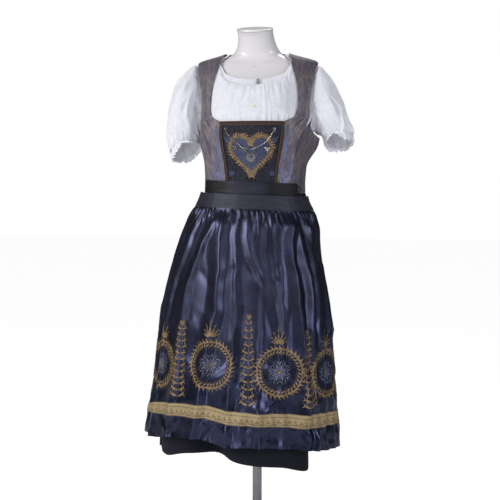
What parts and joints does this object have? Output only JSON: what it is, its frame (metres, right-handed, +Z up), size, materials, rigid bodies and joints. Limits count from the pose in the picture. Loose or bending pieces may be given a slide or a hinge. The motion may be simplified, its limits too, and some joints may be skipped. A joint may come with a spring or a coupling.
{
  "type": "dirndl with apron and blouse on a dress form with stand",
  "caption": "Folk dress with square-necked bodice, gathered apron with ribbon trim and short puff-sleeved blouse, worn by a limbless dress form on a pole stand.",
  "frame": {"origin": "centre of the underside of the round base, on the pole's axis", "axes": "+Z up along the pole, the front of the dress faces -Y, the wearer's left is +X"},
  "size_m": [0.6337, 0.4798, 1.4963],
  "materials": {
    "form_skin": "smooth glossy off-white",
    "stand_steel": "satin grey",
    "blouse_cotton": "plain white cotton weave",
    "pearl": "pearly",
    "brocade": "brocade with vertical floral streaks and a slate sheen",
    "stomacher_jacquard": "dark jacquard with a leaf figure",
    "velvet_ribbon": "brown velvet",
    "silver": "antique silver",
    "belt_satin": "black satin",
    "apron_taffeta": "shot navy taffeta, crisp creases",
    "gold_trim": "woven gold-coloured ribbon",
    "skirt_cloth": "matte dark navy weave"
  },
  "bodies": {
    "root": {"form_torso": "form_skin", "form_neck_cap": "form_skin", "stand_base": "stand_steel", "stand_pole": "stand_steel", "form_socket": "stand_steel", "blouse_front_left": "blouse_cotton", "blouse_front_right": "blouse_cotton", "blouse_back": "blouse_cotton", "blouse_neckband": "blouse_cotton", "blouse_sleeve_left": "blouse_cotton", "blouse_sleeve_right": "blouse_cotton", "blouse_cuff_left": "blouse_cotton", "blouse_cuff_right": "blouse_cotton", "blouse_button": "pearl", "bodice_front_left": "brocade", "bodice_front_right": "brocade", "bodice_side_front_left": "brocade", "bodice_side_front_right": "brocade", "bodice_side_back_left": "brocade", "bodice_side_back_right": "brocade", "bodice_back_left": "brocade", "bodice_back_right": "brocade", "stomacher_panel": "stomacher_jacquard", "stomacher_ribbon_left": "velvet_ribbon", "stomacher_ribbon_right": "velvet_ribbon", "stomacher_ribbon_top": "velvet_ribbon", "lacing_chain": "silver", "lacing_heart_left": "silver", "lacing_heart_right": "silver", "lacing_hook_left": "silver", "lacing_hook_right": "silver", "lacing_pendant": "silver", "blouse_clasp": "silver", "apron_belt": "belt_satin", "apron_panel": "apron_taffeta", "apron_waistband": "apron_taffeta", "apron_tie_left": "apron_taffeta", "apron_tie_right": "apron_taffeta", "apron_trim": "gold_trim", "skirt_front": "skirt_cloth", "skirt_back_left": "skirt_cloth", "skirt_back_right": "skirt_cloth"}
  },
  "joints": []
}
